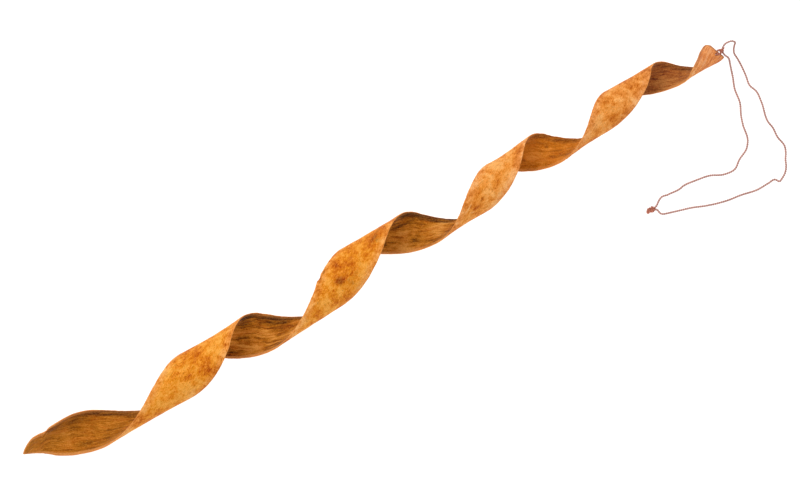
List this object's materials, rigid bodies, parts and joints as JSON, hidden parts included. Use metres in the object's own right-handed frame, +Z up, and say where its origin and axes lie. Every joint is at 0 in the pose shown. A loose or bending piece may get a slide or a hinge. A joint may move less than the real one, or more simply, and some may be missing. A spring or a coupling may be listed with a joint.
{
  "type": "piece of bark",
  "caption": "Long helically curled strip of bark, pointed at one end, with a loop of thin string tied through a hole in the other.",
  "frame": {"origin": "on the surface that the bark rests on, under the middle of the bark's own bounding box", "axes": "+X along the curled strip from its pointed tip to the end with the string, +Z up from the surface"},
  "size_m": [0.4956, 0.1051, 0.0285],
  "materials": {
    "bark": "dry, orange-tan and mottled outside, darker brown with long streaks inside",
    "string": "thin two-ply twisted string, dull pinkish brown"
  },
  "bodies": {
    "root": {"bark": "bark", "string_tie": "string", "string_strand_a": "string", "string_strand_b": "string", "string_knot": "string"}
  },
  "joints": []
}
